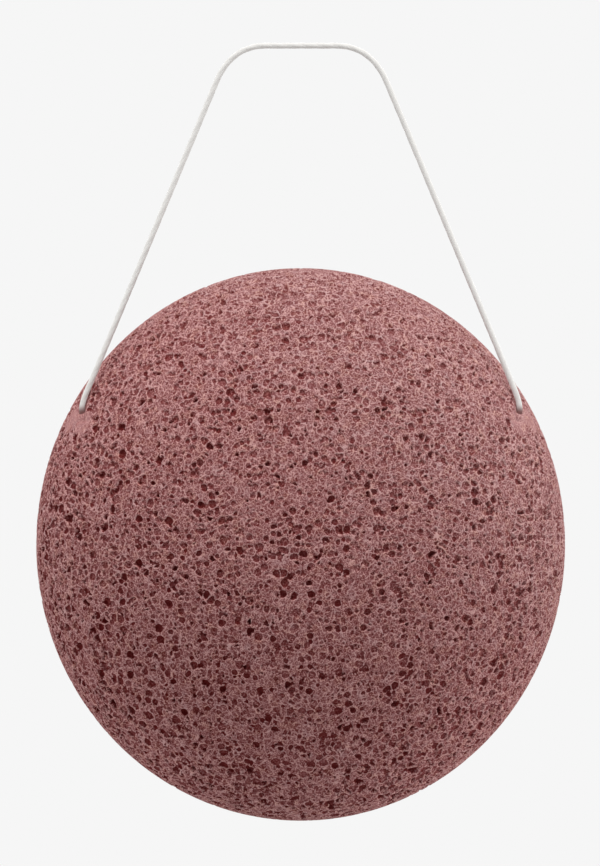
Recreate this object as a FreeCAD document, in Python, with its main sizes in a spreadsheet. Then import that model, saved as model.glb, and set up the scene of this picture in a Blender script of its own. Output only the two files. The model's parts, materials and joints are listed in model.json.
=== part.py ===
"""Half-ball facial sponge that hangs from a loop of cotton string.

Millimetres, +Z up. The origin is the hang point: the underside of the loop's top run, where a hook
bears. The dome faces -Y and the flat back +Y. The string lies straight through a channel along X,
and the sponge swings about that line.
"""
import FreeCAD
import Part

import math
import os

# The free loop's route across the sponge, as (X, height above the channel), from its left end in the
# channel to its right end: out to the mouth, up beside it, up the straight leg and across the top.
LOOP_ROUTE = [
    (-30.4, 0.0),
    (-33.4, 0.0),
    (-33.4, 3.0),
    (-10.5, 56.25),
    (10.5, 56.25),
    (33.4, 3.0),
    (33.4, 0.0),
    (30.4, 0.0),
]
LOOP_END_REACH = LOOP_ROUTE[-1][0]
LOOP_TOP = max(height for _, height in LOOP_ROUTE)

# The two top corners bend as the bar that the loop hangs over. Elsewhere an arc takes up a set share
# of the shorter of its two runs.
TOP_CORNER_RADIUS = 6.0
ARC_SHARE = 0.45

CORD_DIAMETER = 0.9

SIZES = {
    # Sponge: an oval half-ball, with a rounded rim behind its widest section and a flat back.
    "sponge_width": 80.0,
    "sponge_height": 83.6,
    "dome_depth": 30.0,
    "rim_depth": 6.0,
    "flat_back_width": 62.0,
    # Channel: ahead of the widest section by as much as the centre of mass is, so that the sponge
    # hangs plumb, and as far below the hook as the loop reaches.
    "channel_forward": 8.4,
    "channel_above_middle": 18.9,
    "channel_drop": LOOP_TOP - CORD_DIAMETER / 2,
    "channel_clearance": 0.05,
    "mouth_radius": 3.0,
    # String, and the knot that closes its loop in the middle of the channel.
    "cord_diameter": CORD_DIAMETER,
    "knot_length": 4.4,
    "knot_width": 3.0,
    "knot_clearance": 0.3,
}

# Where each primitive's own Z axis points.
FORWARD = FreeCAD.Rotation(FreeCAD.Vector(0, 0, 1), FreeCAD.Vector(0, -1, 0))
BACKWARD = FreeCAD.Rotation(FreeCAD.Vector(0, 0, 1), FreeCAD.Vector(0, 1, 0))
SIDEWAYS = FreeCAD.Rotation(FreeCAD.Vector(0, 0, 1), FreeCAD.Vector(1, 0, 0))
UPRIGHT = FreeCAD.Rotation()

# Expressions that several pieces share.
MIDDLE_Z = "-Sizes.channel_drop - Sizes.channel_above_middle"
CHANNEL_Z = "-Sizes.channel_drop"
HALF_WIDTH = "Sizes.sponge_width / 2"
HALF_HEIGHT = "Sizes.sponge_height / 2"
CORD_RADIUS = "Sizes.cord_diameter / 2"
# How far out the channel comes through the dome.
MOUTH_X = (
    "Sizes.sponge_width / 2 * sqrt(1 - (Sizes.channel_forward / Sizes.dome_depth) ^ 2"
    " - (2 * Sizes.channel_above_middle / Sizes.sponge_height) ^ 2)"
)
# Half the depth of the whole ball that the rim is a slice of.
RIM_BALL = "Sizes.rim_depth / sqrt(1 - (Sizes.flat_back_width / Sizes.sponge_width) ^ 2)"
# The knot tapers to the string at its two ends: the angle and half length of the whole oval.
KNOT_ANGLE = "acos(Sizes.cord_diameter / Sizes.knot_width)"
KNOT_OVAL = f"Sizes.knot_length / 2 / sin({KNOT_ANGLE})"


def make_sheet(doc):
    """The driving dimensions, one aliased cell each."""
    sheet = doc.addObject("Spreadsheet::Sheet", "Sizes")
    for row, (name, value) in enumerate(SIZES.items(), start=1):
        sheet.set(f"A{row}", name)
        sheet.set(f"B{row}", str(value))
        sheet.setAlias(f"B{row}", name)
    doc.recompute()
    return sheet


def primitive(doc, kind, name, rotation, place, **sizes):
    """A Part primitive turned by rotation, with its place and its sizes bound to expressions."""
    made = doc.addObject(kind, name)
    made.Placement = FreeCAD.Placement(FreeCAD.Vector(), rotation)
    for axis, expression in zip("xyz", place):
        made.setExpression(f"Placement.Base.{axis}", expression)
    for size, expression in sizes.items():
        made.setExpression(size, expression)
    return made


def boolean(doc, kind, name, base, tool):
    """A Part::Fuse, Part::Common or Part::Cut of two objects."""
    made = doc.addObject(kind, name)
    made.Base = base
    made.Tool = tool
    return made


def make_sponge(doc):
    """The foam half-ball with its channel, the channel's mouths and the pocket round the knot."""
    middle = ("0", "Sizes.channel_forward", MIDDLE_Z)
    dome = primitive(
        doc, "Part::Ellipsoid", "dome", FORWARD, middle,
        Radius1="Sizes.dome_depth", Radius2=HALF_WIDTH, Radius3=HALF_HEIGHT, Angle1="0 deg",
    )
    rim_ball = primitive(
        doc, "Part::Ellipsoid", "rim_ball", BACKWARD, middle,
        Radius1=RIM_BALL, Radius2=HALF_WIDTH, Radius3=HALF_HEIGHT, Angle1="0 deg",
    )
    rim_slab = primitive(
        doc, "Part::Box", "rim_slab", UPRIGHT,
        ("-Sizes.sponge_width", "Sizes.channel_forward", f"{MIDDLE_Z} - Sizes.sponge_height"),
        Length="2 * Sizes.sponge_width", Width="Sizes.rim_depth", Height="2 * Sizes.sponge_height",
    )
    rim = boolean(doc, "Part::Common", "rim", rim_ball, rim_slab)
    blank = boolean(doc, "Part::Fuse", "sponge_blank", dome, rim)

    channel = primitive(
        doc, "Part::Cylinder", "channel", SIDEWAYS, (f"-{HALF_WIDTH}", "0", CHANNEL_Z),
        Radius=f"{CORD_RADIUS} + Sizes.channel_clearance", Height="Sizes.sponge_width",
    )
    pocket = primitive(
        doc, "Part::Ellipsoid", "knot_pocket", SIDEWAYS, ("0", "0", CHANNEL_Z),
        Radius1=f"{KNOT_OVAL} + Sizes.knot_clearance",
        Radius2="Sizes.knot_width / 2 + Sizes.knot_clearance",
        Radius3="Sizes.knot_width / 2 + Sizes.knot_clearance",
    )
    mouths = [
        primitive(
            doc, "Part::Sphere", f"mouth_{side}", SIDEWAYS, (f"{sign}({MOUTH_X})", "0", CHANNEL_Z),
            Radius="Sizes.mouth_radius",
        )
        for side, sign in (("left", "-"), ("right", "+"))
    ]
    hollow = doc.addObject("Part::MultiFuse", "channel_hollow")
    hollow.Shapes = [channel, pocket, *mouths]
    return boolean(doc, "Part::Cut", "sponge_body", blank, hollow)


def bend_radius(before, corner, after):
    """The radius of the arc at a corner of the loop's route."""
    if corner.z == LOOP_TOP:
        return TOP_CORNER_RADIUS
    into, out = corner - before, after - corner
    return ARC_SHARE * min(into.Length, out.Length) / math.tan(into.getAngle(out) / 2)


def route_wire(points):
    """Straight runs through the points, joined by tangent arcs. Prints each arc's radius."""
    edges = []
    last = points[0]
    for before, corner, after in zip(points, points[1:], points[2:]):
        into = (corner - before).normalize()
        out = (after - corner).normalize()
        turn = into.getAngle(out)
        radius = bend_radius(before, corner, after)
        reach = radius * math.tan(turn / 2)
        start, end = corner - into * reach, corner + out * reach
        inwards = (out - into).normalize()
        middle = corner + inwards * radius * (1 / math.cos(turn / 2) - 1)
        edges.append(Part.LineSegment(last, start).toShape())
        edges.append(Part.Arc(start, middle, end).toShape())
        last = end
        print(f"loop bend: {math.degrees(turn):.1f} degrees, radius {radius:.2f}")
    edges.append(Part.LineSegment(last, points[-1]).toShape())
    return Part.Wire(edges)


def make_loop(doc, sheet):
    """The free loop of string, swept along its route."""
    line = doc.addObject("Part::Feature", "loop_line")
    line.Shape = route_wire([FreeCAD.Vector(x, 0, height) for x, height in LOOP_ROUTE])
    line.setExpression("Placement.Base.z", CHANNEL_Z)
    section = primitive(
        doc, "Part::Circle", "loop_section", SIDEWAYS, (f"-{LOOP_END_REACH}", "0", CHANNEL_Z),
        Radius=CORD_RADIUS,
    )
    loop = doc.addObject("Part::Sweep", "hanging_loop")
    loop.Sections = [section]
    loop.Spine = (line, [f"Edge{n}" for n in range(1, len(line.Shape.Edges) + 1)])
    loop.Solid = True
    doc.recompute()
    expected = line.Shape.Length * math.pi * sheet.cord_diameter ** 2 / 4
    print(f"free loop: {line.Shape.Length:.1f} long, volume {loop.Shape.Volume:.2f} for {expected:.2f}")
    return loop


def make_channel_cords(doc):
    """The string's two runs inside the channel, from the loop's ends to the knot."""
    run = f"{LOOP_END_REACH} - Sizes.knot_length / 2"
    starts = {"left": f"-{LOOP_END_REACH}", "right": "Sizes.knot_length / 2"}
    return [
        primitive(
            doc, "Part::Cylinder", f"channel_cord_{side}", SIDEWAYS, (start, "0", CHANNEL_Z),
            Radius=CORD_RADIUS, Height=run,
        )
        for side, start in starts.items()
    ]


def make_knot(doc):
    """The knot, an oval that tapers to the string at both ends."""
    return primitive(
        doc, "Part::Ellipsoid", "loop_knot", SIDEWAYS, ("0", "0", CHANNEL_Z),
        Radius1=KNOT_OVAL, Radius2="Sizes.knot_width / 2", Radius3="Sizes.knot_width / 2",
        Angle1=f"-{KNOT_ANGLE}", Angle2=KNOT_ANGLE,
    )


def check(doc, parts):
    """Stops before anything is written if an object failed or a piece isn't one valid solid."""
    for made in doc.Objects:
        if {"Invalid", "Error"} & set(made.State):
            raise RuntimeError(f"{made.Label}: {made.State}")
    for part in parts:
        shape = part.Shape
        if shape.isNull() or not shape.isValid() or len(shape.Solids) != 1:
            raise RuntimeError(f"{part.Label} isn't one valid solid")


def main():
    doc = FreeCAD.newDocument("hanging_sponge")
    sheet = make_sheet(doc)
    parts = [make_sponge(doc), make_loop(doc, sheet), *make_channel_cords(doc), make_knot(doc)]
    doc.recompute()
    check(doc, parts)
    os.makedirs("parts", exist_ok=True)
    for part in parts:
        part.Shape.exportStep(os.path.join("parts", f"{part.Label}.step"))
        print(f"{part.Label}: {part.Shape.Volume:.1f} cubic mm")


main()
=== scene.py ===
"""Looks of a half-ball konjac sponge that hangs from a loop of cotton string.

Metres, +Z up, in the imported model's frame: the origin is the hang point under the loop's top run, the
dome faces -Y, the flat back faces +Y, and the string's channel runs along X.
"""

import json
import logging
import math
from dataclasses import dataclass
from enum import Enum

import bpy
import numpy as np
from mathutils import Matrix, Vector


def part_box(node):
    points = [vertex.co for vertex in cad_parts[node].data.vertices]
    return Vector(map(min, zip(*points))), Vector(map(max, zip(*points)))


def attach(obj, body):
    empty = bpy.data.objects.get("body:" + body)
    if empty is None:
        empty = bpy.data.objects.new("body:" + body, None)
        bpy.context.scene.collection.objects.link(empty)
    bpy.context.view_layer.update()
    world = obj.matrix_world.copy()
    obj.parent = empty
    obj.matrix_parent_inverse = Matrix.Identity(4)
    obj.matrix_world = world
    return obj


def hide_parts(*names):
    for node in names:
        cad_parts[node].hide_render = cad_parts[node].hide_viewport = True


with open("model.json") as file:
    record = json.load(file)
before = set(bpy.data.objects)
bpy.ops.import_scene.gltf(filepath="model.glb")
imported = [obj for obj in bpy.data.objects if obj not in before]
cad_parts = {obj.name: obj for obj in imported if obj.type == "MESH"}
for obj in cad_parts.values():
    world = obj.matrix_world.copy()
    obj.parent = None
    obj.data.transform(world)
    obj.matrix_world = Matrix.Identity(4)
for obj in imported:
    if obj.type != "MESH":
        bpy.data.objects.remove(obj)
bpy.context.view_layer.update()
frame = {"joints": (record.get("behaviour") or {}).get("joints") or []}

MM = 0.001
# Further out than any piece reaches.
FAR_OFF = 1.0

# Types: a socket, a piece, a colour seen on screen, a linear colour, a place and the two ends of a change.
Socket = bpy.types.NodeSocket
Piece = bpy.types.Object
Rgb = tuple[int, int, int]
Colour = tuple[float, float, float, float]
Place = tuple[float, float, float]
Span = tuple[float, float]

log = logging.getLogger("hanging_sponge")


class Body(Enum):
    """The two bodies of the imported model."""

    LOOP = "string_loop"
    SPONGE = "sponge"


class Slot(Enum):
    """The record's material slots."""

    FOAM = "konjac_foam"
    COTTON = "cotton_string"


class Side(Enum):
    """The two ends of the channel, by the sign of their X."""

    LEFT = -1
    RIGHT = 1


def paint(*seen: int) -> Colour:
    """Turn a colour as it is seen on screen into the linear colour that a shader takes.

    Args:
        seen: Red, green and blue, from 0 to 255.

    Returns:
        The linear colour, with full alpha.
    """
    parts = [level / 255 for level in seen]
    linear = [part / 12.92 if part <= 0.04045 else ((part + 0.055) / 1.055) ** 2.4 for part in parts]
    return (*linear, 1.0)


class Bench:
    """A node tree, with short ways to add linked nodes to it."""

    def __init__(self, tree: bpy.types.NodeTree) -> None:
        """Work on this tree."""
        self.tree = tree

    def feed(self, socket: Socket, value: object) -> None:
        """Link a socket into an input, or set the input to a plain value.

        Args:
            socket: The input.
            value: The socket or the value.
        """
        if isinstance(value, Socket):
            self.tree.links.new(value, socket)
        else:
            socket.default_value = value

    def add(self, kind: str, inputs: dict | None = None, **settings: object) -> bpy.types.Node:
        """Add a node.

        Args:
            kind: The node's type name in Blender.
            inputs: Values or sockets to feed it, by input name or number.
            settings: Properties of the node itself.

        Returns:
            The new node.
        """
        node = self.tree.nodes.new(kind)
        for name, value in settings.items():
            setattr(node, name, value)
        for key, value in (inputs or {}).items():
            self.feed(node.inputs[key], value)
        return node

    def maths(self, operation: str, *values: object) -> Socket:
        """Add a Math node and return its result."""
        return self.add("ShaderNodeMath", dict(enumerate(values)), operation=operation).outputs[0]

    def vectors(self, operation: str, *values: object) -> Socket:
        """Add a Vector Math node and return its result, a number for a length or a dot product."""
        node = self.add("ShaderNodeVectorMath", dict(enumerate(values)), operation=operation)
        return node.outputs["Value" if operation in ("LENGTH", "DOT_PRODUCT") else "Vector"]

    def scaled(self, vector: object, factor: object) -> Socket:
        """Multiply a vector by a number."""
        node = self.add("ShaderNodeVectorMath", {0: vector, "Scale": factor}, operation="SCALE")
        return node.outputs["Vector"]

    def step(self, value: object, start: object, end: object, low: float = 0.0,
             high: float = 1.0) -> Socket:
        """Go smoothly from one level to another while a value goes from start to end.

        Args:
            value: The number that drives the step.
            start: Where the result leaves low.
            end: Where the result reaches high.
            low: The result before start.
            high: The result past end.

        Returns:
            The stepped number.
        """
        inputs = {"Value": value, "From Min": start, "From Max": end, "To Min": low, "To Max": high}
        return self.add("ShaderNodeMapRange", inputs, interpolation_type="SMOOTHSTEP").outputs[0]

    def noise(self, place: object, grain: float, detail: float = 2.0, rough: float = 0.55) -> Socket:
        """Add a Noise Texture of a given grain size in metres and return its level."""
        inputs = {"Vector": place, "Scale": 1 / grain, "Detail": detail, "Roughness": rough}
        return self.add("ShaderNodeTexNoise", inputs).outputs[0]

    def bent(self, place: object, grain: float, reach: float) -> Socket:
        """Shift points by a smooth noise.

        Args:
            place: The points.
            grain: The grain size of the noise.
            reach: About how far it shifts a point at most.

        Returns:
            The shifted points.
        """
        noise = self.add("ShaderNodeTexNoise", {"Vector": place, "Scale": 1 / grain, "Detail": 1.0})
        way = self.vectors("SUBTRACT", noise.outputs["Color"], (0.5, 0.5, 0.5))
        return self.vectors("ADD", place, self.scaled(way, 2 * reach))

    def level(self, factor: object, first: object, second: object) -> Socket:
        """Mix two numbers and return the result."""
        inputs = {0: factor, 2: first, 3: second}
        return self.add("ShaderNodeMix", inputs, data_type="FLOAT").outputs[0]

    def blend(self, factor: object, first: object, second: object, way: str = "MIX") -> Socket:
        """Mix two colours.

        Args:
            factor: How much of the second colour shows.
            first: The colour underneath.
            second: The colour on top.
            way: Blender's blend type.

        Returns:
            The mixed colour.
        """
        inputs = {0: factor, 6: first, 7: second}
        return self.add("ShaderNodeMix", inputs, data_type="RGBA", blend_type=way).outputs[2]

    def mark(self, name: str, output: str = "Fac") -> Socket:
        """Read a named attribute in a material, as a number or, by the output Vector, as a place."""
        return self.add("ShaderNodeAttribute", attribute_name=name).outputs[output]


# The bubbles are round in a space that is squeezed from front to back, so they are long in that direction.
SQUEEZE = (1.0, 0.72, 1.0)
# Each lies at random in its own cell of that space. The cells are bent a little, and walls part them.
RANDOMNESS = 0.92
WARP_GRAIN = 0.7 * MM
WARP_REACH = 0.16 * MM
HALF_WALL = 0.08 * MM
# Powers above 1 make the wide and the deep bubbles rarer than an even draw would.
SIZE_POWER = 1.3
LUCK_POWER = 1.6
# The radius of a cell that holds no bubble: no point lies inside it.
NO_BUBBLE = -1.0
# The fields that the sponge's tree takes.
BUBBLE_SIZES = ("spacing", "least_radius", "most_radius")


@dataclass(frozen=True)
class Bubbles:
    """One size of round bubble in the foam. The surface opens those that it cuts."""

    name: str
    spacing: float
    least_radius: float
    most_radius: float
    share: float
    darkness: float
    shift: Place

    def cells(self, bench: Bench, place: object, grow: object,
              sizes: dict | None = None) -> dict[str, Socket]:
        """Find the bubble nearest to each point, in a shader tree or a geometry tree.

        Args:
            bench: The tree to add nodes to.
            place: The points.
            grow: How far the bubbles have grown at each point, about 1.
            sizes: Sockets that stand in for the fields in BUBBLE_SIZES.

        Returns:
            The way to the bubble's middle, the distance to it, its radius, its luck from 0 to 1 and how far
            inside it the point lies, short of the wall that parts it from the next bubble. Lengths are
            those of squeezed space.
        """
        sizes = sizes or {}
        spacing, least, most = (sizes.get(field, getattr(self, field)) for field in BUBBLE_SIZES)
        squeezed = bench.vectors("MULTIPLY_ADD", place, SQUEEZE, self.shift)
        here = bench.bent(squeezed, WARP_GRAIN, WARP_REACH)
        inputs = {"Vector": here, "Scale": bench.maths("DIVIDE", 1.0, spacing), "Randomness": RANDOMNESS}
        nearest, next_one = (
            bench.add("ShaderNodeTexVoronoi", inputs, voronoi_dimensions="3D", feature=feature).outputs
            for feature in ("F1", "F2")
        )
        way = bench.vectors("SUBTRACT", nearest["Position"], here)
        far = bench.vectors("LENGTH", way)
        beyond = bench.vectors("LENGTH", bench.vectors("SUBTRACT", next_one["Position"], here))
        draws = bench.add("ShaderNodeSeparateXYZ", {0: nearest["Color"]}).outputs
        size = bench.maths("POWER", draws[0], SIZE_POWER)
        radius = bench.maths("MULTIPLY_ADD", size, bench.maths("SUBTRACT", most, least), least)
        there = bench.maths("LESS_THAN", draws[2], self.share)
        radius = bench.level(there, NO_BUBBLE, bench.maths("MULTIPLY", radius, grow))
        to_border = bench.maths("MULTIPLY", bench.maths("SUBTRACT", beyond, far), 0.5)
        to_wall = bench.maths("SUBTRACT", to_border, HALF_WALL)
        inside = bench.maths("MINIMUM", bench.maths("SUBTRACT", radius, far), to_wall)
        return {"way": way, "far": far, "radius": radius, "luck": draws[1], "inside": inside}


LARGE = Bubbles("Large bubble", 1.35 * MM, 0.48 * MM, 0.78 * MM, 0.74, 1.0, (0.311, 0.127, 0.209))
MEDIUM = Bubbles("Medium bubble", 0.9 * MM, 0.32 * MM, 0.5 * MM, 0.8, 1.0, (0.173, 0.241, 0.117))
SMALL = Bubbles("Small bubble", 0.55 * MM, 0.15 * MM, 0.27 * MM, 0.7, 0.8, (0.219, 0.133, 0.307))
TINY = Bubbles("Tiny bubble", 0.3 * MM, 0.06 * MM, 0.13 * MM, 0.7, 0.65, (0.137, 0.319, 0.251))


@dataclass(frozen=True)
class FoamFinish:
    """Matt dusty-pink plant-fibre foam: a grainy web, lighter struts and darker open pores, darkened partly
    with painted shade.

    A tone goes from 0 in the darkest pore to 1 on the lightest strut. A span holds the values at which a
    change starts and ends. A net holds the spacing, the half width and the gain in tone of its struts.
    """

    tones: tuple[Rgb, ...] = (
        (76, 10, 11),
        (97, 38, 38),
        (124, 70, 70),
        (149, 99, 99),
        (196, 150, 147),
    )
    roughness: float = 0.95
    specular: float = 0.02

    # Warm patches and smooth skin, by the level of one noise.
    patch_grain: float = 1.4 * MM
    warm_span: Span = (0.5, 0.3)
    warm_tint: Colour = (1.02, 1.0, 0.93, 1.0)
    skin_span: Span = (0.55, 0.7)
    skin_tint: Colour = (0.95, 1.0, 1.02, 1.0)
    skin_gain: float = 0.26

    # The web between the pores, and how much of its grain is left where the foam is smooth or dark.
    web_tone: float = 0.51
    cloud_grain: float = 2.5 * MM
    cloud_detail: float = 3.0
    cloud_gain: float = 0.15
    grain_size: float = 0.17 * MM
    grain_gain: float = 1.35
    wide_net: tuple[float, float, float] = (0.95 * MM, 0.08 * MM, 0.34)
    fine_net: tuple[float, float, float] = (0.5 * MM, 0.07 * MM, 0.34)
    open_span: Span = (0.3, 0.8)
    closed_grain: float = 0.4
    skin_grain: float = 0.5
    smooth_span: Span = (1.0, 0.3)
    dark_tone: float = 0.1
    dark_grain: float = 0.35

    # The open pores, darker than the web: partly their own darker red and partly painted shade, deeper in
    # the deeper ones.
    shallow_drop: float = 0.15
    deep_drop: float = 0.37
    # Painted shade in the hollows: the deeper a pore is pushed in, the darker.
    painted_recess_shade_span: Span = (0.5 * MM, 1.6 * MM)
    painted_recess_shade: float = 0.08
    middle_span: Span = (0.9, 0.2)
    middle_gain: float = 0.14
    lip_share: float = 0.2
    lip_gain: float = 0.6
    edge_softness: float = 0.05 * MM
    # Painted shade: the pores turn darker and redder with their depth, less so where they crowd.
    painted_pore_red_span: Span = (0.05 * MM, 0.35 * MM)
    painted_pore_red: Colour = (1.02, 0.9, 0.89, 1.0)
    crowded_span: Span = (1.0, 1.35)
    crowded_share: float = 0.1
    # Painted light: the foam turns paler where the painted pore shade lightens towards the lit top and
    # right.
    painted_light_span: Span = (0.95, 0.65)
    painted_light_tint: Colour = (0.98, 1.05, 1.05, 1.0)
    # Painted shade: the steep pore walls turn darker and redder.
    painted_wall_shade_span: Span = (-0.85, -0.45)
    painted_wall_shade: Colour = (1.0, 0.74, 0.72, 1.0)

    def material(self) -> bpy.types.Material:
        """Make the foam's material.

        Returns:
            A material that reads the attributes rest_place, wide_place, floor_place, pore_depth, grow,
            gloom and tilt.
        """
        material = bpy.data.materials.new("konjac_foam")
        material.use_nodes = True
        bench = Bench(material.node_tree)
        patches = bench.noise(bench.mark("rest_place", "Vector"), self.patch_grain)
        skin = bench.step(patches, *self.skin_span)
        colour = self.coloured(bench, self.tone(bench, skin), patches, skin)
        shader = material.node_tree.nodes["Principled BSDF"]
        bench.feed(shader.inputs["Base Color"], colour)
        bench.feed(shader.inputs["Roughness"], self.roughness)
        bench.feed(shader.inputs["Specular IOR Level"], self.specular)
        return material

    def tone(self, bench: Bench, skin: Socket) -> Socket:
        """Shade the web, its pores and its grain, with painted shade that deepens in the deeper pores.

        Args:
            bench: The material's tree.
            skin: How much of a smooth skin the foam has, from 0 to 1.

        Returns:
            The tone.
        """
        place, wide, floor = (bench.mark(f"{name}_place", "Vector") for name in ("rest", "wide", "floor"))
        depth, grow, painted_pore_shade = (bench.mark(name) for name in ("pore_depth", "grow", "painted_pore_shade"))
        rough = bench.step(grow, *self.open_span, self.closed_grain, 1.0)
        rough = bench.maths("MULTIPLY", rough, bench.step(skin, 0.0, 1.0, 1.0, self.skin_grain))
        cloud = bench.maths("SUBTRACT", bench.noise(floor, self.cloud_grain, self.cloud_detail), 0.5)
        tone = bench.maths("MULTIPLY_ADD", cloud, self.cloud_gain, self.web_tone)
        tone = bench.maths("ADD", tone, bench.step(rough, *self.smooth_span, 0.0, self.skin_gain))
        for bubbles, spot in ((LARGE, place), (MEDIUM, wide), (SMALL, floor), (TINY, floor)):
            # Painted shade in the pores, painted lighter towards the lit top and right.
            darkness = bench.maths("MULTIPLY", painted_pore_shade, bubbles.darkness)
            lip_width = self.lip_share * bubbles.most_radius
            tone = self.pored(bench, tone, bubbles.cells(bench, spot, grow), darkness, lip_width)
        # Painted shade: darker where the pore is pushed in deeper.
        tone = bench.maths("SUBTRACT", tone, bench.step(depth, *self.painted_recess_shade_span, 0.0, self.painted_recess_shade))
        lit = bench.step(tone, self.dark_tone, self.web_tone, self.dark_grain, 1.0)
        rough = bench.maths("MULTIPLY", rough, lit)
        return bench.maths("MULTIPLY_ADD", self.grain(bench, floor), rough, tone)

    def coloured(self, bench: Bench, tone: Socket, patches: Socket, skin: Socket) -> Socket:
        """Give each tone its colour, tint it by patch and by skin, and paint shade into the pores and on
        their walls and painted light towards the top and the right.

        Args:
            bench: The material's tree.
            tone: The tone.
            patches: The level of the noise that makes the patches.
            skin: How much of a smooth skin the foam has, from 0 to 1.

        Returns:
            The colour.
        """
        ramp = bench.add("ShaderNodeValToRGB", {"Fac": tone})
        stops = ramp.color_ramp.elements
        while len(stops) < len(self.tones):
            stops.new(0.5)
        for number, (stop, tint) in enumerate(zip(stops, self.tones)):
            stop.position = number / (len(self.tones) - 1)
            stop.color = paint(*tint)
        depth, grow, painted_pore_shade, tilt = (bench.mark(name) for name in ("pore_depth", "grow", "painted_pore_shade", "tilt"))
        uncrowded = bench.step(grow, *self.crowded_span, 1.0, self.crowded_share)
        tints = (
            (bench.step(patches, *self.warm_span), self.warm_tint),
            (skin, self.skin_tint),
            # Painted shade, darker and redder with the pore's depth.
            (bench.maths("MULTIPLY", bench.step(depth, *self.painted_pore_red_span), uncrowded), self.painted_pore_red),
            # Painted light, paler towards the lit top and right.
            (bench.step(painted_pore_shade, *self.painted_light_span), self.painted_light_tint),
            # Painted shade on the steep pore walls.
            (bench.step(tilt, *self.painted_wall_shade_span), self.painted_wall_shade),
        )
        colour = ramp.outputs["Color"]
        for share, tint in tints:
            colour = bench.blend(share, colour, tint, "MULTIPLY")
        return colour

    def grain(self, bench: Bench, place: Socket) -> Socket:
        """Shade the foam's fine grain and its thin struts.

        Args:
            bench: The material's tree.
            place: The place on the surface before the small bubbles open.

        Returns:
            What the grain adds to the tone.
        """
        grain = bench.maths("SUBTRACT", bench.noise(place, self.grain_size), 0.5)
        grain = bench.maths("MULTIPLY", grain, self.grain_gain)
        bent = bench.bent(place, WARP_GRAIN, WARP_REACH)
        for spacing, width, gain in (self.wide_net, self.fine_net):
            inputs = {"Vector": bent, "Scale": 1 / spacing, "Randomness": 1.0}
            net = bench.add("ShaderNodeTexVoronoi", inputs, feature="DISTANCE_TO_EDGE")
            strut = bench.step(net.outputs["Distance"], width / spacing, 0.0, 0.0, gain)
            grain = bench.maths("ADD", grain, strut)
        return grain

    def pored(self, bench: Bench, tone: Socket, cells: dict, darkness: Socket,
              lip_width: float) -> Socket:
        """Darken the open bubbles of one size, partly with painted shade, and lighten their lips.

        Args:
            bench: The material's tree.
            tone: The tone so far.
            cells: The bubbles.
            darkness: How dark they are, about 1 for the large ones.
            lip_width: How far out from a bubble its lip reaches.

        Returns:
            The new tone.
        """
        lip = bench.step(cells["inside"], -lip_width, 0.0, 0.0, self.lip_gain)
        deep = bench.maths("POWER", cells["luck"], LUCK_POWER)
        shallow = bench.maths("SUBTRACT", 1.0, deep)
        middle = bench.maths("DIVIDE", cells["far"], cells["radius"])
        middle = bench.step(middle, *self.middle_span, 0.0, self.middle_gain)
        drop = bench.maths("MULTIPLY", bench.level(deep, self.shallow_drop, self.deep_drop), darkness)
        floor = bench.maths("MULTIPLY_ADD", middle, shallow, bench.maths("SUBTRACT", self.web_tone, drop))
        floor = bench.maths("MINIMUM", tone, floor)
        mask = bench.step(cells["inside"], -self.edge_softness, self.edge_softness)
        return bench.level(mask, bench.maths("MULTIPLY_ADD", tone, lip, tone), floor)


@dataclass(frozen=True)
class CottonFinish:
    """Matt off-white cotton with fine fibres along each ply, and foam-coloured painted shade where it sinks
    into the sponge.
    """

    lit: Rgb = (242, 241, 239)
    shade: Rgb = (232, 230, 227)
    # Painted shade in the foam's colour where the string's ends sink into the sponge.
    painted_end_shade: Rgb = (140, 100, 97)
    painted_end_shade_top: float = -53.4 * MM
    painted_end_shade_reach: float = 1.4 * MM
    fibre_width: float = 0.05 * MM
    fibre_slimness: float = 0.12
    fibre_detail: float = 3.0
    fibre_span: Span = (0.3, 0.7)
    fibre_bump: float = 0.4
    fibre_height: float = 0.02 * MM
    roughness: float = 0.85
    diffuse_roughness: float = 1.0
    specular: float = 0.1

    def material(self) -> bpy.types.Material:
        """Make the string's material.

        Returns:
            A material that reads the attributes along and round.
        """
        material = bpy.data.materials.new("cotton_string")
        material.use_nodes = True
        bench = Bench(material.node_tree)
        along = bench.maths("MULTIPLY", bench.mark("along"), self.fibre_slimness)
        spot = bench.add("ShaderNodeCombineXYZ", {0: along, 1: bench.mark("round")})
        fibres = bench.noise(spot.outputs[0], self.fibre_width, self.fibre_detail)
        lit = bench.step(fibres, *self.fibre_span)
        colour = bench.blend(lit, paint(*self.shade), paint(*self.lit))
        place = bench.add("ShaderNodeTexCoord").outputs["Object"]
        height = bench.add("ShaderNodeSeparateXYZ", {0: place}).outputs["Z"]
        # Below a given height the string fades to a foam-coloured painted shade, where it sinks into the
        # sponge.
        painted_end_shaded = bench.step(height, self.painted_end_shade_top, self.painted_end_shade_top - self.painted_end_shade_reach)
        colour = bench.blend(painted_end_shaded, colour, paint(*self.painted_end_shade))
        shader = material.node_tree.nodes["Principled BSDF"]
        bench.feed(shader.inputs["Base Color"], colour)
        bench.feed(shader.inputs["Roughness"], self.roughness)
        bench.feed(shader.inputs["Diffuse Roughness"], self.diffuse_roughness)
        bench.feed(shader.inputs["Specular IOR Level"], self.specular)
        inputs = {"Height": fibres, "Strength": self.fibre_bump, "Distance": self.fibre_height}
        bump = bench.add("ShaderNodeBump", inputs)
        bench.feed(shader.inputs["Normal"], bump.outputs[0])
        return material


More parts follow.
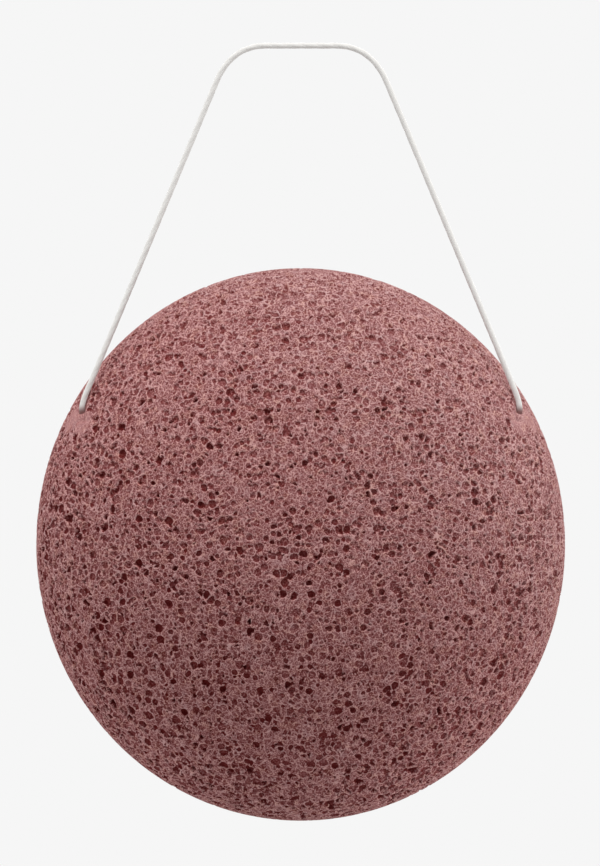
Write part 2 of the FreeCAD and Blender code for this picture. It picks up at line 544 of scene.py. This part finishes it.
class NodeShape(Bench):
    """A Geometry Nodes tree with named inputs that turns one mesh into another."""

    def __init__(self, name: str) -> None:
        """Start an empty tree with a mesh in and a mesh out.

        Args:
            name: The tree's name.
        """
        super().__init__(bpy.data.node_groups.new(name, "GeometryNodeTree"))
        sockets = self.tree.interface
        sockets.new_socket("Geometry", in_out="INPUT", socket_type="NodeSocketGeometry")
        sockets.new_socket("Geometry", in_out="OUTPUT", socket_type="NodeSocketGeometry")
        self.values: dict[str, object] = {}
        self.start = self.add("NodeGroupInput")

    def take(self, name: str, kind: str, value: object) -> Socket:
        """Add a named input.

        Args:
            name: The input's name.
            kind: Its type, such as Float, Int or Material.
            value: What the modifier sets it to.

        Returns:
            The socket to read it from.
        """
        item = self.tree.interface.new_socket(name, in_out="INPUT", socket_type=f"NodeSocket{kind}")
        self.values[item.identifier] = value
        return self.start.outputs[name]

    def keep(self, geometry: object, name: str, kind: str, value: object) -> Socket:
        """Store a named attribute on the points.

        Args:
            geometry: The geometry so far.
            name: The attribute's name.
            kind: Its data type, such as FLOAT.
            value: What to store.

        Returns:
            The geometry that holds it.
        """
        inputs = {"Geometry": geometry, "Name": name, "Value": value}
        node = self.add("GeometryNodeStoreNamedAttribute", inputs, data_type=kind, domain="POINT")
        return node.outputs[0]

    def read(self, name: str, kind: str) -> Socket:
        """Read a named attribute."""
        node = self.add("GeometryNodeInputNamedAttribute", {"Name": name}, data_type=kind)
        return node.outputs["Attribute"]

    def close(self, geometry: object, material: bpy.types.Material) -> None:
        """End the tree: real mesh, smooth faces, one material.

        Args:
            geometry: The finished geometry.
            material: What it is dressed in.
        """
        finish = self.take("Finish", "Material", material)
        real = self.add("GeometryNodeRealizeInstances", {0: geometry}).outputs[0]
        smooth = self.add("GeometryNodeSetShadeSmooth", {0: real}).outputs[0]
        dressed = self.add("GeometryNodeSetMaterial", {"Geometry": smooth, "Material": finish})
        self.add("NodeGroupOutput", {0: dressed.outputs[0]})

    def shape(self, piece: Piece) -> None:
        """Run the tree on a piece and leave it with the plain mesh that comes out.

        Args:
            piece: The piece.
        """
        modifier = piece.modifiers.new(self.tree.name, "NODES")
        modifier.node_group = self.tree
        for identifier, value in self.values.items():
            modifier[identifier] = value
        depsgraph = bpy.context.evaluated_depsgraph_get()
        made = bpy.data.meshes.new_from_object(
            piece.evaluated_get(depsgraph), preserve_all_data_layers=True, depsgraph=depsgraph
        )
        piece.modifiers.clear()
        piece.data = made


def piece_from(name: str, mesh: bpy.types.Mesh) -> Piece:
    """Put a mesh in the scene as a piece at the origin.

    Args:
        name: The piece's name.
        mesh: The mesh.

    Returns:
        The piece.
    """
    piece = bpy.data.objects.new(name, mesh)
    bpy.context.scene.collection.objects.link(piece)
    return piece


@dataclass
class Sponge:
    """The foam half-ball: an oval dome, a rounded rim, a flat back and a mouth at both channel ends."""

    finish: FoamFinish
    string_path: list[Vector]
    string_radius: float
    fill: float = 1.0

    # The half-ball and the grid that is wrapped round it.
    dome_depth: float = 30.0 * MM
    flat_share: float = 0.775
    back_rounding: float = 1.2 * MM
    rounding_reach: float = 2.5
    profile_steps: int = 4000
    grid: int = 340
    map_margin: float = 0.004

    # The mouths: the room for the string, and their smooth skin by X, how far ahead and how far below.
    string_clearance: float = 0.1 * MM
    string_sunk: float = 1.3 * MM
    mouth_reach: float = 9.0 * MM
    mouth_rounding: float = 0.5 * MM
    smooth_spots: tuple[Place, ...] = (
        (33.2 * MM, 0.0 * MM, -0.6 * MM),
        (32.7 * MM, 2.6 * MM, 0.6 * MM),
        (34.4 * MM, -1.6 * MM, 0.2 * MM),
    )
    smooth_radius: float = 1.4 * MM
    smooth_fade: float = 1.6 * MM
    least_open: float = 0.2

    # How much the pores grow in crowds, towards the side and on the back, how dark they are in the middle,
    # partly with painted shade, and how that painted shade lightens towards the lit right edge and top, and
    # how far through its bubble a pore opens.
    crowd_grain: float = 6.0 * MM
    crowd_span: Span = (0.35, 0.65)
    crowd_growth: Span = (0.93, 1.05)
    side_span: Span = (-16.0 * MM, 0.0)
    side_growth: float = 1.35
    back_growth: float = 0.75
    painted_pore_shade: float = 0.95
    painted_pore_shade_to_right: float = -0.25
    painted_pore_shade_to_top: float = -0.28
    least_push: float = 0.15
    deep_push: float = 0.35

    def __post_init__(self) -> None:
        """Take the outer size and the channel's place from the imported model."""
        low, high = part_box("sponge_body")
        self.half_width = (high.x - low.x) / 2
        self.half_height = (high.z - low.z) / 2
        self.middle_z = (high.z + low.z) / 2
        self.equator_y = low.y + self.dome_depth
        self.rim_depth = high.y - self.equator_y
        self.channel = Vector(frame["joints"][0]["pos_m"])

    def build(self) -> Piece:
        """Make the sponge.

        Returns:
            The finished piece, riding on its body.
        """
        piece = piece_from("sponge_foam", self.blank())
        self.pores().shape(piece)
        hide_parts("sponge_body")
        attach(piece, Body.SPONGE.value)
        return piece

    def profile(self) -> tuple[np.ndarray, np.ndarray, np.ndarray]:
        """Draw the half section from the dome's tip to the middle of the back.

        Returns:
            Even distances along the line from 0 to 1, the share of the half width and Y at each.
        """
        steps = self.profile_steps
        turn = np.linspace(0, math.pi / 2, steps // 2)
        ball_depth = self.rim_depth / math.sqrt(1 - self.flat_share ** 2)
        slope = np.linspace(0, math.acos(self.flat_share), steps // 10)[1:]
        flat = np.linspace(self.flat_share, 0, steps // 4)[1:]
        share = np.concatenate([np.sin(turn), np.cos(slope), flat])
        y = np.concatenate([
            -self.dome_depth * np.cos(turn), ball_depth * np.sin(slope), np.full(len(flat), self.rim_depth),
        ])
        run = np.hypot(np.diff(share) * self.half_width, np.diff(y))
        way = np.concatenate([[0], np.cumsum(run)])
        even = np.linspace(0, way[-1], steps + 1)
        share, y = np.interp(even, way, share), np.interp(even, way, y)
        reach = int(self.rounding_reach * self.back_rounding / even[1])
        kernel = np.exp(-0.5 * (np.arange(-reach, reach + 1) * even[1] / self.back_rounding) ** 2)
        kernel /= kernel.sum()
        back = even > way[len(turn)] + 2 * self.back_rounding
        back &= even < way[-1] - reach * even[1]
        share = np.where(back, np.convolve(share, kernel, "same"), share)
        y = np.where(back, np.convolve(y, kernel, "same"), y)
        return even / way[-1], share, y + self.equator_y

    def blank(self) -> bpy.types.Mesh:
        """Wrap an even grid of quads round the smooth half-ball.

        Returns:
            The mesh, with a map of its six patches and the attribute open_foam.
        """
        n = self.grid
        column, row = np.meshgrid(np.arange(n + 1), np.arange(n + 1), indexing="ij")
        lattices, maps = [], []
        for patch in range(6):
            axis, far = patch % 3, patch < 3
            lattice = np.zeros((n + 1, n + 1, 3), int)
            lattice[..., axis] = n if far else 0
            lattice[..., (axis + 1) % 3] = column if far else row
            lattice[..., (axis + 2) % 3] = row if far else column
            lattices.append(lattice)
            spread = self.map_margin + (1 - 2 * self.map_margin) * np.stack([column, row], -1) / n
            maps.append((spread + [patch % 3, patch // 3]) / [3, 2])
        lattices, maps = np.array(lattices), np.array(maps)
        keys = lattices @ [(n + 1) ** 2, n + 1, 1]
        _, first, number = np.unique(keys, return_index=True, return_inverse=True)
        number = number.reshape(keys.shape)
        low, high = slice(0, n), slice(1, None)
        corners = ((low, low), (high, low), (high, high), (low, high))
        quads = np.stack([number[:, a, b] for a, b in corners], -1).reshape(-1, 4)
        places = np.stack([maps[:, a, b] for a, b in corners], -2).reshape(-1, 2)

        ray = np.tan((lattices.reshape(-1, 3)[first] / n * 2 - 1) * math.pi / 4)
        ray /= np.linalg.norm(ray, axis=1, keepdims=True)
        points = self.with_mouths(self.wrapped(ray))

        mesh = bpy.data.meshes.new("sponge_foam")
        mesh.vertices.add(len(points))
        mesh.vertices.foreach_set("co", points.astype(np.float32).ravel())
        mesh.loops.add(quads.size)
        mesh.loops.foreach_set("vertex_index", quads.astype(np.int32).ravel())
        mesh.polygons.add(len(quads))
        mesh.polygons.foreach_set("loop_start", np.arange(0, quads.size, 4, dtype=np.int32))
        mesh.update(calc_edges=True)
        mesh.uv_layers.new(name="OFBake").uv.foreach_set("vector", places.astype(np.float32).ravel())
        opened = mesh.attributes.new("open_foam", "FLOAT", "POINT")
        opened.data.foreach_set("value", self.openness(points).astype(np.float32))
        return mesh

    def wrapped(self, ray: np.ndarray) -> np.ndarray:
        """Bring rays from the middle of a ball to the half-ball's surface.

        Args:
            ray: Unit vectors, one a row.

        Returns:
            The points, in the same order.
        """
        along, share, y = self.profile()
        travel = np.arccos(np.clip(-ray[:, 1], -1, 1)) / math.pi
        round_axis = np.hypot(ray[:, 0], ray[:, 2])
        round_axis[round_axis == 0] = 1.0
        reach = np.interp(travel, along, share)
        return np.stack([
            self.half_width * reach * ray[:, 0] / round_axis,
            np.interp(travel, along, y),
            self.middle_z + self.half_height * reach * ray[:, 2] / round_axis,
        ], -1)

    def with_mouths(self, points: np.ndarray) -> np.ndarray:
        """Clear the room that the string's ends sweep as the sponge swings.

        Args:
            points: Points on the smooth half-ball.

        Returns:
            The points, moved along the channel where the string needs their place.
        """
        reach = np.abs(points[:, 0])
        ahead, up = self.channel.y - points[:, 1], points[:, 2] - self.channel.z
        across = np.hypot(ahead, up)
        near = np.flatnonzero((across < self.mouth_reach) & (reach > self.half_width / 2))
        low, high = np.radians(frame["joints"][0]["range_deg"])
        off = np.arctan2(ahead[near], up[near]) + (low + high) / 2
        off = np.abs((off + math.pi) % (2 * math.pi) - math.pi)
        past = np.clip(off - (high - low) / 2, 0, math.pi / 2)
        along, beside = across[near] * np.cos(past), across[near] * np.sin(past)

        string_reach = np.array([-point.x for point in self.string_path])
        string_height = np.array([point.z - self.channel.z for point in self.string_path])
        end = (string_reach > 0) & (self.string_sunk < string_height) & (string_height < self.mouth_reach)
        string_reach, string_height = string_reach[end], string_height[end]
        width = self.string_radius + self.string_clearance
        room = width ** 2 - (along[:, None] - string_height) ** 2 - beside[:, None] ** 2
        limit = np.where(room > 0, string_reach - np.sqrt(np.maximum(room, 0)), FAR_OFF).min(axis=1)
        keep = np.clip(0.5 + 0.5 * (limit - reach[near]) / self.mouth_rounding, 0, 1)
        rounded = reach[near] * keep + limit * (1 - keep) - self.mouth_rounding * keep * (1 - keep)
        made = points.copy()
        made[near, 0] = np.sign(points[near, 0]) * rounded
        return made

    def openness(self, points: np.ndarray) -> np.ndarray:
        """Say how open the foam's pores are, from least_open in the mouths' smooth skin to 1.

        Args:
            points: Points on the half-ball.

        Returns:
            The openness of each.
        """
        opened = np.ones(len(points))
        for side in Side:
            for x, ahead, below in self.smooth_spots:
                spot = np.array([side.value * x, self.channel.y - ahead, self.channel.z - below])
                far = np.linalg.norm(points - spot, axis=1)
                share = np.clip((far - self.smooth_radius) / self.smooth_fade, 0, 1)
                share = share * share * (3 - 2 * share)
                opened = np.minimum(opened, self.least_open + (1 - self.least_open) * share)
        return opened

    def pores(self) -> NodeShape:
        """Make the tree that opens the bubbles that the surface cuts.

        Returns:
            The tree, ready to run on the blank.
        """
        tree = NodeShape("foam_pores")
        position = tree.add("GeometryNodeInputPosition").outputs[0]
        shape = tree.keep(tree.start.outputs[0], "rest_place", "FLOAT_VECTOR", position)
        normal = tree.add("GeometryNodeInputNormal").outputs[0]
        shape = tree.keep(shape, "rest_normal", "FLOAT_VECTOR", normal)
        crowd = tree.step(tree.noise(position, self.crowd_grain), *self.crowd_span, *self.crowd_growth)
        x, y, z = tree.add("ShaderNodeSeparateXYZ", {0: position}).outputs
        crowd = tree.maths("MULTIPLY", crowd, tree.step(y, *self.side_span, 1.0, self.side_growth))
        back_y = self.equator_y + self.rim_depth
        crowd = tree.maths("MULTIPLY", crowd, tree.step(y, self.equator_y, back_y, 1.0, self.back_growth))
        grow = tree.maths("MULTIPLY", tree.read("open_foam", "FLOAT"), crowd)
        shape = tree.keep(shape, "grow", "FLOAT", grow)
        # The pores' darkness, partly painted shade, painted lighter towards the lit right edge and top.
        painted_pore_shade = tree.maths("MULTIPLY_ADD", x, self.painted_pore_shade_to_right / self.half_width, self.painted_pore_shade)
        height = tree.maths("SUBTRACT", z, self.middle_z)
        painted_pore_shade = tree.maths("MULTIPLY_ADD", height, self.painted_pore_shade_to_top / self.half_height, painted_pore_shade)
        shape = tree.keep(shape, "painted_pore_shade", "FLOAT", painted_pore_shade)

        inward = tree.scaled(tree.read("rest_normal", "FLOAT_VECTOR"), -1.0)
        grown = tree.read("grow", "FLOAT")
        for bubbles, left in ((LARGE, "wide_place"), (MEDIUM, "floor_place"), (SMALL, None)):
            cells = bubbles.cells(tree, position, grown, self.sizes_of(tree, bubbles))
            shape = self.opened(tree, shape, cells, inward)
            if left:
                shape = tree.keep(shape, left, "FLOAT_VECTOR", position)
        sunk = tree.vectors("SUBTRACT", position, tree.read("rest_place", "FLOAT_VECTOR"))
        shape = tree.keep(shape, "pore_depth", "FLOAT", tree.vectors("DOT_PRODUCT", sunk, inward))
        shape = tree.keep(shape, "tilt", "FLOAT", tree.vectors("DOT_PRODUCT", normal, inward))
        inputs = {"Geometry": shape, "Name": "rest_normal"}
        shape = tree.add("GeometryNodeRemoveAttribute", inputs).outputs[0]
        tree.close(shape, self.finish.material())
        return tree

    @staticmethod
    def sizes_of(tree: NodeShape, bubbles: Bubbles) -> dict[str, Socket]:
        """Give the tree named inputs for one size of bubble.

        Args:
            tree: The tree.
            bubbles: The size of bubble.

        Returns:
            The sockets to read them from, by the names of its fields.
        """
        return {
            field: tree.take(f"{bubbles.name} {field.replace('_', ' ')}", "Float", getattr(bubbles, field))
            for field in BUBBLE_SIZES
        }

    def opened(self, tree: NodeShape, shape: object, cells: dict, inward: object) -> Socket:
        """Push each point that lies in a bubble inward, part of the way to the bubble's far wall.

        Args:
            tree: The tree to add nodes to.
            shape: The surface so far.
            cells: The bubbles nearest to its points.
            inward: The way in, square to the uncut surface.

        Returns:
            The surface with these bubbles open.
        """
        course = tree.vectors("MULTIPLY", inward, SQUEEZE)
        ahead = tree.vectors("DOT_PRODUCT", cells["way"], course)
        pace = tree.vectors("DOT_PRODUCT", course, course)
        radius_squared, far_squared, ahead_squared = (
            tree.maths("POWER", length, 2.0) for length in (cells["radius"], cells["far"], ahead)
        )
        gap = tree.maths("SUBTRACT", radius_squared, far_squared)
        room = tree.maths("MULTIPLY_ADD", pace, gap, ahead_squared)
        push = tree.maths("ADD", tree.maths("SQRT", tree.maths("MAXIMUM", room, 0.0)), ahead)
        push = tree.maths("DIVIDE", push, pace)
        inside = tree.maths("GREATER_THAN", cells["inside"], 0.0)
        luck = tree.maths("POWER", cells["luck"], LUCK_POWER)
        share = tree.maths("MULTIPLY_ADD", luck, self.deep_push, self.least_push)
        share = tree.maths("MULTIPLY", share, inside)
        push = tree.maths("MULTIPLY", tree.maths("MAXIMUM", push, 0.0), share)
        inputs = {"Geometry": shape, "Offset": tree.scaled(inward, push)}
        return tree.add("GeometryNodeSetPosition", inputs).outputs[0]


@dataclass
class StringLoop:
    """The cotton string: its free loop, the two runs hidden in the channel and the knot between them."""

    finish: CottonFinish
    diameter: float = 0.9 * MM
    loop_length: float = 145.9 * MM
    plies: int = 3
    ply_radius: float = 0.39 * MM
    twist_length: float = 7.0 * MM
    ring_spacing: float = 0.2 * MM
    ply_sides: int = 10
    line_order: int = 3
    line_steps: int = 24

    # Routes in millimetres from the channel's middle: the loop by X and height, a hidden run by how far out
    # it lies, and the knot's left half by X, Y and height, up to the point where it turns.
    loop_route: tuple[Span, ...] = (
        (-30.4, 0.0),
        (-33.0, 0.0),
        (-32.85, 2.6),
        (-31.73, 5.2),
        (-15.0, 45.2),
        (-10.43, 56.2),
        (0.0, 56.2),
        (10.6, 56.2),
        (15.25, 45.3),
        (31.9, 5.2),
        (32.9, 2.6),
        (33.0, 0.0),
        (30.4, 0.0),
    )
    run_route: tuple[float, ...] = (30.4, 16.0, 2.2)
    knot_half: tuple[Place, ...] = (
        (-2.2, 0.0, 0.0),
        (-1.5, 0.0, 0.0),
        (-0.6, -0.9, 0.5),
        (0.8, -0.8, 0.6),
        (1.0, 0.6, 0.9),
    )
    knot_turn: Place = (0.0, 1.2, 0.0)

    def __post_init__(self) -> None:
        """Take the channel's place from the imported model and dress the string."""
        self.channel = Vector(frame["joints"][0]["pos_m"])
        self.material = self.finish.material()
        self.path: list[Vector] = []

    def build(self) -> list[Piece]:
        """Make the string's pieces.

        Returns:
            The free loop and what is hidden in the sponge.
        """
        hidden = [*(self.run(side) for side in Side), self.knot()]
        return [self.loop(), *hidden]

    def line(self, name: str, route: list[Place]) -> bpy.types.Mesh:
        """Draw a smooth line along a route of control points.

        Args:
            name: The line's name.
            route: The points, in millimetres from the channel's middle.

        Returns:
            The line as a mesh of points and edges.
        """
        curve = bpy.data.curves.new(name, "CURVE")
        curve.dimensions = "3D"
        curve.resolution_u = self.line_steps
        spline = curve.splines.new("NURBS")
        spline.points.add(len(route) - 1)
        for point, place in zip(spline.points, route):
            point.co = (*(self.channel + Vector(place) * MM), 1.0)
        spline.order_u = self.line_order
        spline.use_endpoint_u = True
        carrier = bpy.data.objects.new(name, curve)
        mesh = bpy.data.meshes.new_from_object(carrier)
        bpy.data.objects.remove(carrier)
        return mesh

    def twisted(self) -> NodeShape:
        """Make the tree that lays twisted plies along a line.

        Returns:
            The tree, ready to run on a line.
        """
        tree = NodeShape("twisted_string")
        plies = tree.take("Plies", "Int", self.plies)
        ply_radius = tree.take("Ply radius", "Float", self.ply_radius)
        orbit = tree.take("Ply offset", "Float", self.diameter / 2 - self.ply_radius)
        twist = tree.take("Twist length", "Float", self.twist_length)
        spacing = tree.take("Ring spacing", "Float", self.ring_spacing)
        sides = tree.take("Ply sides", "Int", self.ply_sides)
        curve = tree.add("GeometryNodeMeshToCurve", {"Mesh": tree.start.outputs[0]}).outputs[0]
        inputs = {"Curve": curve, "Length": spacing}
        resample = tree.add("GeometryNodeResampleCurve", inputs, mode="LENGTH")
        inputs = {"Geometry": resample.outputs[0], "Amount": plies}
        copies = tree.add("GeometryNodeDuplicateElements", inputs, domain="SPLINE")
        length = tree.add("GeometryNodeSplineParameter").outputs["Length"]
        shape = tree.keep(copies.outputs[0], "along", "FLOAT", length)
        start = tree.maths("DIVIDE", copies.outputs["Duplicate Index"], plies)
        phase = tree.maths("ADD", start, tree.maths("DIVIDE", length, twist))
        angle = tree.maths("MULTIPLY", phase, 2 * math.pi)
        normal = tree.add("GeometryNodeInputNormal").outputs[0]
        tangent = tree.add("GeometryNodeInputTangent").outputs[0]
        side = tree.vectors("CROSS_PRODUCT", tangent, normal)
        sideways = tree.scaled(side, tree.maths("SINE", angle))
        offset = tree.vectors("ADD", tree.scaled(normal, tree.maths("COSINE", angle)), sideways)
        inputs = {"Geometry": shape, "Offset": tree.scaled(offset, orbit)}
        shape = tree.add("GeometryNodeSetPosition", inputs).outputs[0]
        ring = tree.add("GeometryNodeCurvePrimitiveCircle", {"Resolution": sides, "Radius": ply_radius})
        factor = tree.add("GeometryNodeSplineParameter").outputs["Factor"]
        turn = tree.maths("MULTIPLY", tree.maths("MULTIPLY", factor, 2 * math.pi), ply_radius)
        ring = tree.keep(ring.outputs[0], "round", "FLOAT", turn)
        inputs = {"Curve": shape, "Profile Curve": ring, "Fill Caps": True}
        tube = tree.add("GeometryNodeCurveToMesh", inputs).outputs[0]
        tree.close(tube, self.material)
        return tree

    def strung(self, piece: Piece, *nodes: str) -> Piece:
        """Lay plies along a piece's line and let it stand for the nodes.

        Args:
            piece: A piece whose mesh is a line.
            nodes: The solids that it stands for.

        Returns:
            The same piece, riding on the string's body.
        """
        self.twisted().shape(piece)
        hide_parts(*nodes)
        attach(piece, Body.LOOP.value)
        return piece

    def loop(self) -> Piece:
        """Make the free loop, from its left end in the channel to its right end.


        Returns:
            The finished piece.
        """
        line = self.line("hanging_string", [(x, 0.0, height) for x, height in self.loop_route])
        self.path = [vertex.co.copy() for vertex in line.vertices]
        piece = self.strung(piece_from("hanging_string", line), "hanging_loop")
        return piece

    def run(self, side: Side) -> Piece:
        """Make the run of string hidden in one half of the channel.

        Args:
            side: Which half.

        Returns:
            The finished piece.
        """
        name = f"channel_string_{side.name.lower()}"
        line = self.line(name, [(side.value * out, 0.0, 0.0) for out in self.run_route])
        return self.strung(piece_from(name, line), f"channel_cord_{side.name.lower()}")

    def knot(self) -> Piece:
        """Make the tied knot in the middle of the channel.

        Returns:
            The finished piece.
        """
        other_half = [(-x, y, -z) for x, y, z in reversed(self.knot_half)]
        line = self.line("string_knot", [*self.knot_half, self.knot_turn, *other_half])
        return self.strung(piece_from("string_knot", line), "loop_knot")


@dataclass
class Studio:
    """A pale floor, soft light and the camera, straight in front of the sponge."""

    lens: float = 400.0
    sensor: float = 36.0
    clip_start: float = 0.01
    frame_height: float = 131.0 * MM
    frame_middle: float = -57.85 * MM
    frame_x: float = -0.1 * MM
    outline_plane: float = 8.2 * MM
    background: Rgb = (246, 246, 246)
    floor_z: float = -0.2
    floor_radius: float = 0.9
    floor_sides: int = 96
    floor_full: float = 0.12
    floor_clear_share: float = 0.95
    floor_roughness: float = 0.9
    ambient: float = 0.6
    lamp_size: float = 0.5
    lamps: tuple[tuple[str, Place, float], ...] = (
        ("above", (0.013, -0.297, 0.792), 7.0),
        ("right", (0.87, 0.175, -0.19), 4.3),
        ("left", (-0.8, 0.393, -0.17), 3.1),
    )

    def build(self) -> None:
        """Set up the world, the floor, the lamps and the camera."""
        bpy.context.scene.view_settings.view_transform = "Standard"
        self.world()
        self.floor()
        for name, place, watts in self.lamps:
            self.lamp(name, Vector(place), watts)
        self.camera()

    def world(self) -> None:
        """Show the pale background to the camera and light the object with a plain white."""
        world = bpy.data.worlds.new("studio")
        bpy.context.scene.world = world
        world.use_nodes = True
        bench = Bench(world.node_tree)
        lit = world.node_tree.nodes["Background"]
        lit.inputs["Color"].default_value = (1, 1, 1, 1)
        lit.inputs["Strength"].default_value = self.ambient
        shown = bench.add("ShaderNodeBackground", {"Color": paint(*self.background), "Strength": 1.0})
        inputs = {0: self.seen(bench), 1: lit.outputs[0], 2: shown.outputs[0]}
        mix = bench.add("ShaderNodeMixShader", inputs)
        bench.feed(world.node_tree.nodes["World Output"].inputs["Surface"], mix.outputs[0])

    @staticmethod
    def seen(bench: Bench) -> Socket:
        """Tell the rays that show the background from those that light the object.

        Args:
            bench: The tree to add nodes to.

        Returns:
            1 for the rays that show it and 0 for the others.
        """
        rays = bench.add("ShaderNodeLightPath").outputs
        shiny = bench.maths("MAXIMUM", rays["Is Glossy Ray"], rays["Is Transmission Ray"])
        return bench.maths("MAXIMUM", rays["Is Camera Ray"], shiny)

    def floor(self) -> None:
        """Lay a round pale floor under the sponge, which fades into the background."""
        mesh = bpy.data.meshes.new("floor")
        turns = np.linspace(0, 2 * math.pi, self.floor_sides, endpoint=False)
        reach = self.floor_radius
        rim = [(reach * math.cos(turn), reach * math.sin(turn), self.floor_z) for turn in turns]
        mesh.from_pydata(rim, [], [range(len(rim))])
        floor = piece_from("floor", mesh)
        material = bpy.data.materials.new("pale_floor")
        material.use_nodes = True
        bench = Bench(material.node_tree)
        place = bench.add("ShaderNodeTexCoord").outputs["Object"]
        spot = bench.vectors("MULTIPLY", place, (1, 1, 0))
        clear_at = reach * self.floor_clear_share
        fade = bench.step(bench.vectors("LENGTH", spot), self.floor_full, clear_at)
        unseen = bench.maths("SUBTRACT", 1.0, self.seen(bench))
        fade = bench.maths("MAXIMUM", fade, unseen)
        shader = material.node_tree.nodes["Principled BSDF"]
        shader.inputs["Base Color"].default_value = paint(*self.background)
        shader.inputs["Roughness"].default_value = self.floor_roughness
        clear = bench.add("ShaderNodeBsdfTransparent")
        mix = bench.add("ShaderNodeMixShader", {0: fade, 1: shader.outputs[0], 2: clear.outputs[0]})
        bench.feed(material.node_tree.nodes["Material Output"].inputs["Surface"], mix.outputs[0])
        mesh.materials.append(material)

    def lamp(self, name: str, place: Vector, watts: float) -> None:
        """Hang a square soft lamp that points at the frame's middle.

        Args:
            name: The lamp's name.
            place: Where it hangs.
            watts: Its power.
        """
        light = bpy.data.lights.new(name, "AREA")
        light.size = self.lamp_size
        light.energy = watts
        lamp = bpy.data.objects.new(name, light)
        lamp.location = place
        way = Vector((0, 0, self.frame_middle)) - place
        lamp.rotation_euler = way.to_track_quat("-Z", "Y").to_euler()
        lamp.visible_camera = False
        bpy.context.scene.collection.objects.link(lamp)

    def camera(self) -> None:
        """Stand the camera level with the frame's middle, as far off as its lens asks."""
        data = bpy.data.cameras.new("camera")
        data.lens = self.lens
        data.sensor_width = self.sensor
        data.clip_start = self.clip_start
        camera = bpy.data.objects.new("camera", data)
        away = self.frame_height * self.lens / self.sensor
        camera.location = (self.frame_x, self.outline_plane - away, self.frame_middle)
        camera.rotation_euler = (math.pi / 2, 0, 0)
        bpy.context.scene.collection.objects.link(camera)
        bpy.context.scene.camera = camera


def main() -> None:
    """Build the stage, the string and the sponge, and report each piece."""
    logging.basicConfig(level=logging.INFO, format="%(name)s: %(message)s")
    Studio().build()
    string = StringLoop(CottonFinish())
    pieces = string.build()
    pieces.append(Sponge(FoamFinish(), string.path, string.diameter / 2).build())
    for piece in pieces:
        log.info("%s: %d faces", piece.name, len(piece.data.polygons))


if __name__ == "__main__":
    main()
